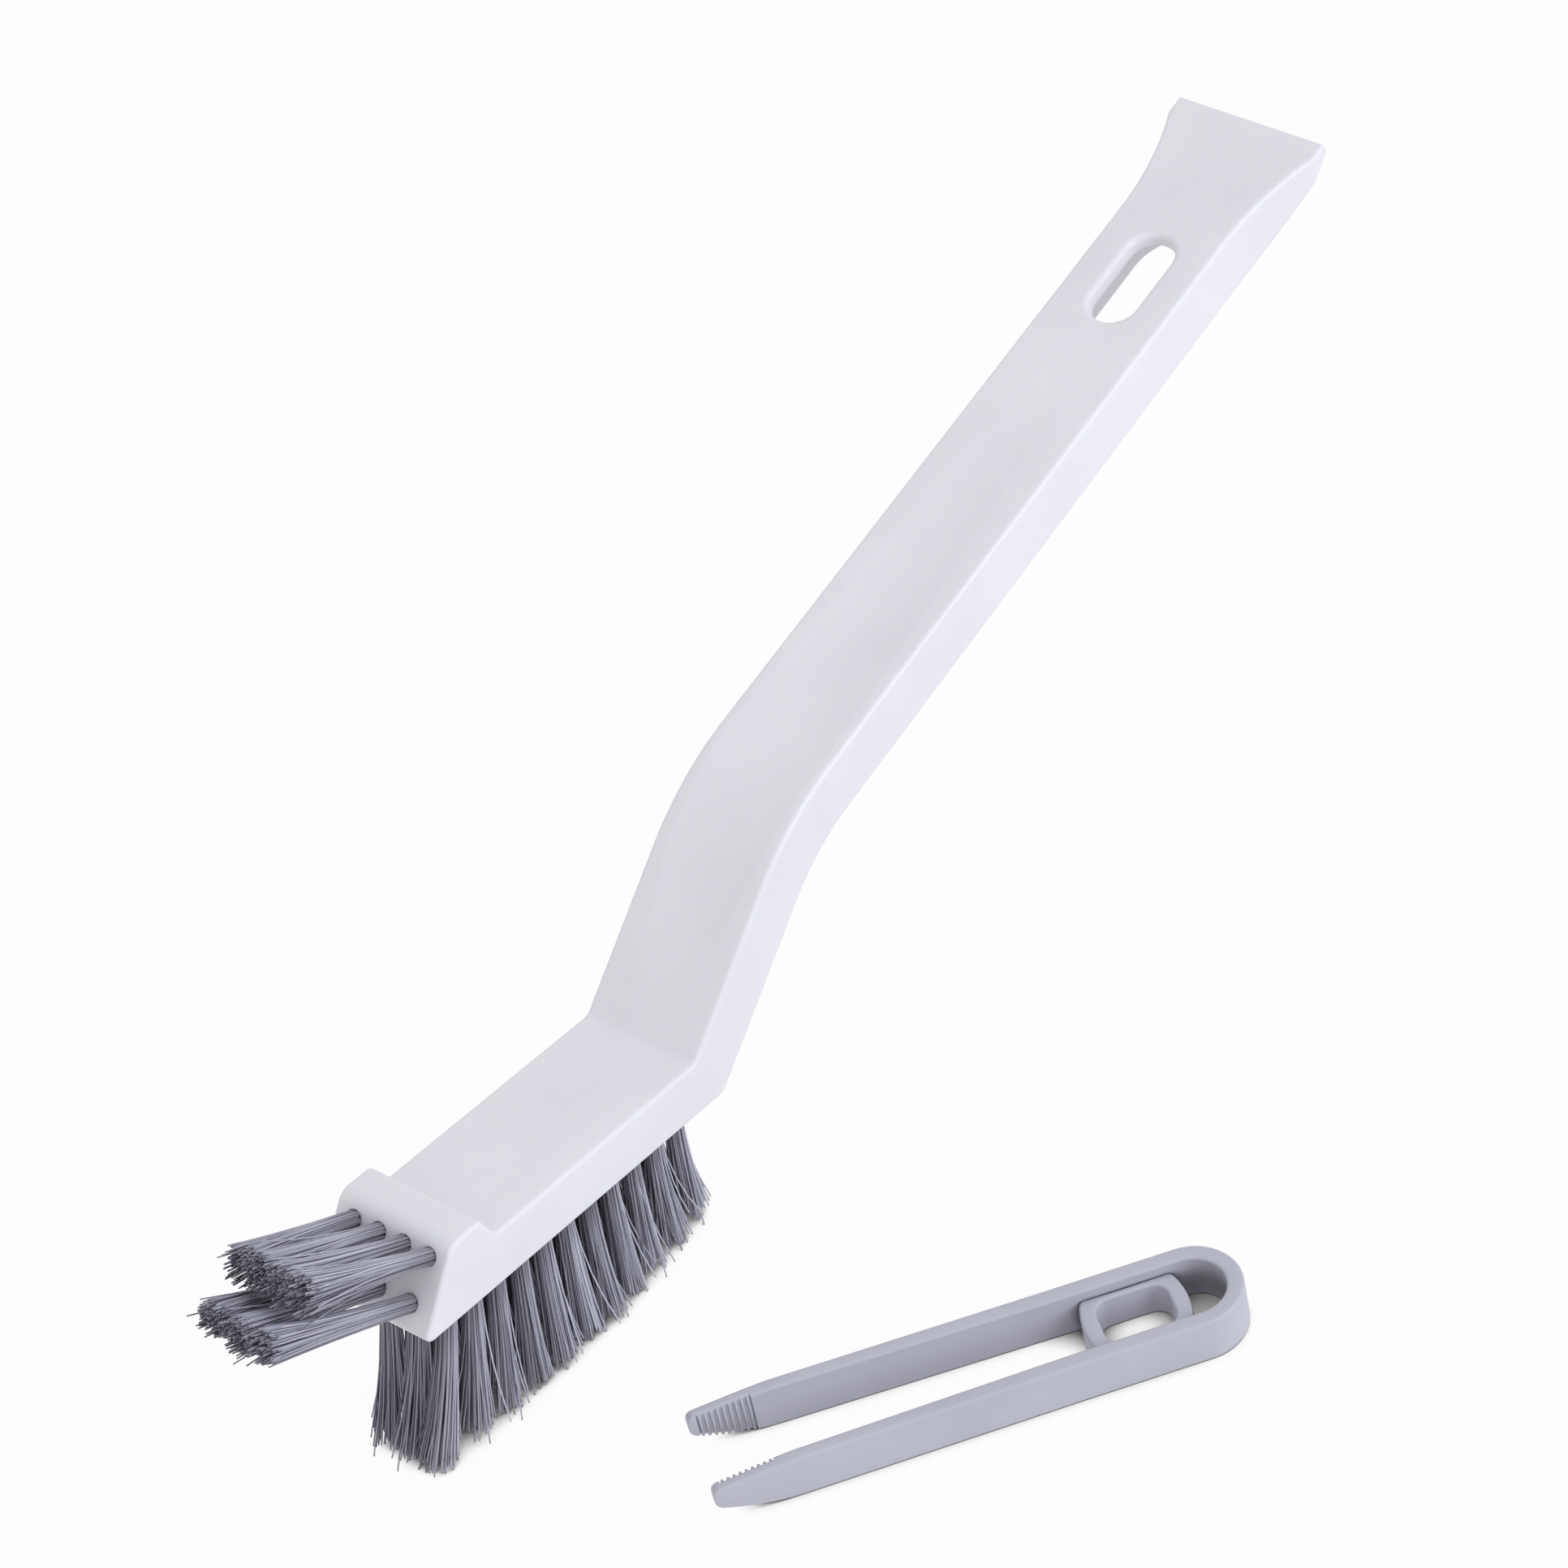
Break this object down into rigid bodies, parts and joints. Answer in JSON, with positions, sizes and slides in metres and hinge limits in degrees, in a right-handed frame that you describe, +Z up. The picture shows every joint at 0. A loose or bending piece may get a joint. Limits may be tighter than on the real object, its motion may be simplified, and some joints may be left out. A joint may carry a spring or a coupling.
{
  "type": "crevice brush",
  "caption": "White plastic crevice brush with grey bristles on nose and sole, a scraper tail with a hang slot, and a loose grey tweezer clip.",
  "frame": {"origin": "middle of the base of the whole, on the table that the bristle tips and the clip rest on", "axes": "+X from the nose to the scraper tail, +Y to the brush's left, +Z up"},
  "size_m": [0.2186, 0.0916, 0.0711],
  "materials": {
    "handle_plastic": "satin",
    "bristle": "matte",
    "clip_plastic": "satin",
    "anchor_metal": "plain"
  },
  "bodies": {
    "brush": {"brush_handle": "handle_plastic", "sole_tuft_left_01": "bristle", "sole_tuft_left_02": "bristle", "sole_tuft_left_03": "bristle", "sole_tuft_left_04": "bristle", "sole_tuft_left_05": "bristle", "sole_tuft_left_06": "bristle", "sole_tuft_left_07": "bristle", "sole_tuft_left_08": "bristle", "sole_tuft_left_09": "bristle", "sole_tuft_left_10": "bristle", "sole_tuft_left_11": "bristle", "sole_tuft_middle_01": "bristle", "sole_tuft_middle_02": "bristle", "sole_tuft_middle_03": "bristle", "sole_tuft_middle_04": "bristle", "sole_tuft_middle_05": "bristle", "sole_tuft_middle_06": "bristle", "sole_tuft_middle_07": "bristle", "sole_tuft_middle_08": "bristle", "sole_tuft_middle_09": "bristle", "sole_tuft_middle_10": "bristle", "sole_tuft_middle_11": "bristle", "sole_tuft_right_01": "bristle", "sole_tuft_right_02": "bristle", "sole_tuft_right_03": "bristle", "sole_tuft_right_04": "bristle", "sole_tuft_right_05": "bristle", "sole_tuft_right_06": "bristle", "sole_tuft_right_07": "bristle", "sole_tuft_right_08": "bristle", "sole_tuft_right_09": "bristle", "sole_tuft_right_10": "bristle", "sole_tuft_right_11": "bristle", "front_tuft_upper_1": "bristle", "front_tuft_upper_2": "bristle", "front_tuft_upper_3": "bristle", "front_tuft_upper_4": "bristle", "front_tuft_lower_1": "bristle", "front_tuft_lower_2": "bristle", "front_tuft_lower_3": "bristle", "sole_anchors": "anchor_metal", "front_anchors": "anchor_metal"},
    "clip": {"clip_bow": "clip_plastic"},
    "left_arm": {"clip_arm_left": "clip_plastic"},
    "right_arm": {"clip_arm_right": "clip_plastic"}
  },
  "joints": [
    {"name": "clip_lift", "type": "slide", "parent": "brush", "child": "clip", "axis": [0, 0, 1], "range_m": [0, 0.05]},
    {"name": "left_arm_squeeze", "type": "hinge", "parent": "clip", "child": "left_arm", "pos_m": [-0.03192, -0.02436, 0], "axis": [0, 0, 1], "range_deg": [0, 6.2], "stiffness_Nm_per_rad": 0.06},
    {"name": "right_arm_squeeze", "type": "hinge", "parent": "clip", "child": "right_arm", "pos_m": [-0.03855, -0.03338, 0], "axis": [0, 0, -1], "range_deg": [0, 6.2], "stiffness_Nm_per_rad": 0.06}
  ],
  "couplings": [
    {"joint": "right_arm_squeeze", "follows": "left_arm_squeeze", "ratio": 1}
  ]
}
